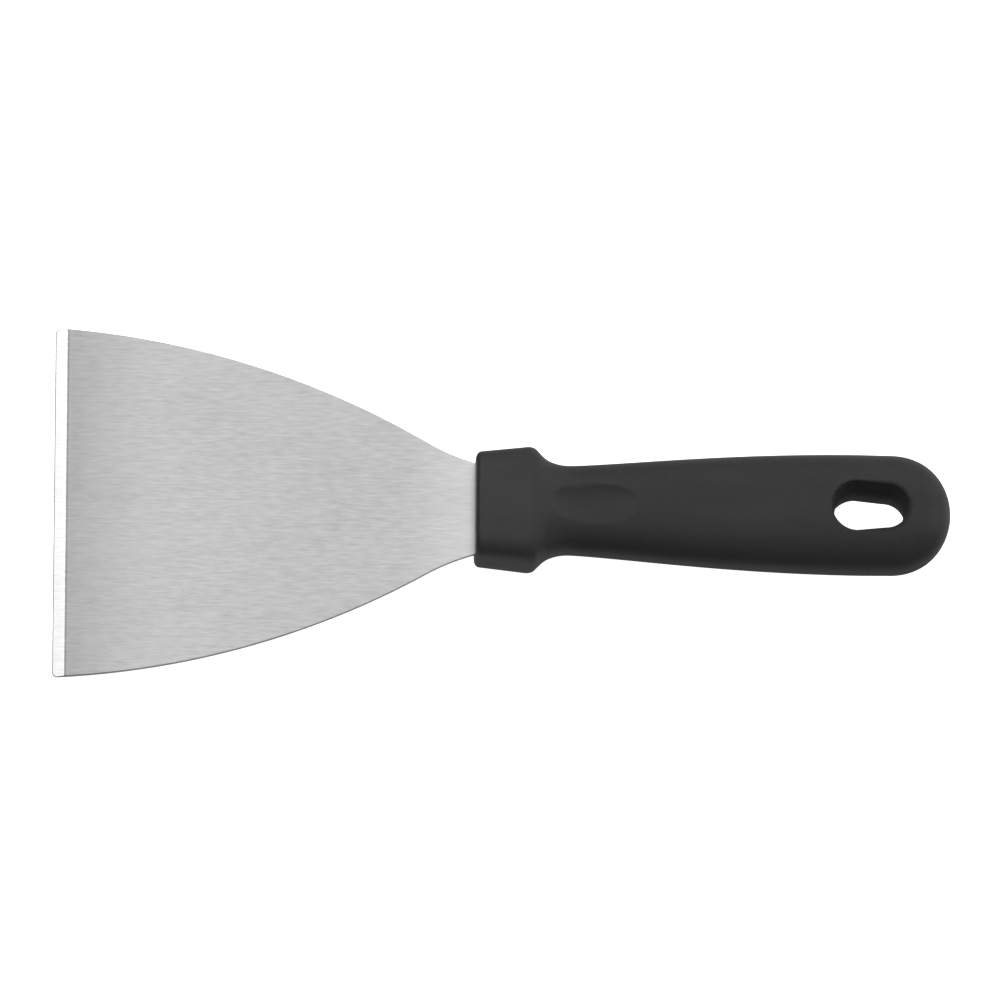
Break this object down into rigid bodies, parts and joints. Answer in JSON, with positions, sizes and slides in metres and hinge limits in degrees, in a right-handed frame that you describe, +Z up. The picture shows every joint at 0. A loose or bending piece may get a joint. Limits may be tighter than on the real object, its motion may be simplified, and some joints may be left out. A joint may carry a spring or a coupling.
{
  "type": "bench scraper",
  "caption": "Triangular stainless scraper blade with a ground edge, its tang moulded into a black handle that has a flared bolster, a thumb dimple and a hang slot.",
  "frame": {"origin": "middle of the footprint, on the bench that the tool lies on", "axes": "+X from the scraping edge towards the butt, along the bench; +Y across the blade; +Z up. The tool lies on its scraping edge and the underside of its bolster, so its own length rises at 4.72 degrees towards the butt."},
  "size_m": [0.2478, 0.1002, 0.0314],
  "materials": {
    "stainless": "fine grain brushed along the length, with a bright ground bevel",
    "polypropylene": "fine matte moulded texture"
  },
  "bodies": {
    "root": {"blade": "stainless", "handle": "polypropylene"}
  },
  "joints": []
}
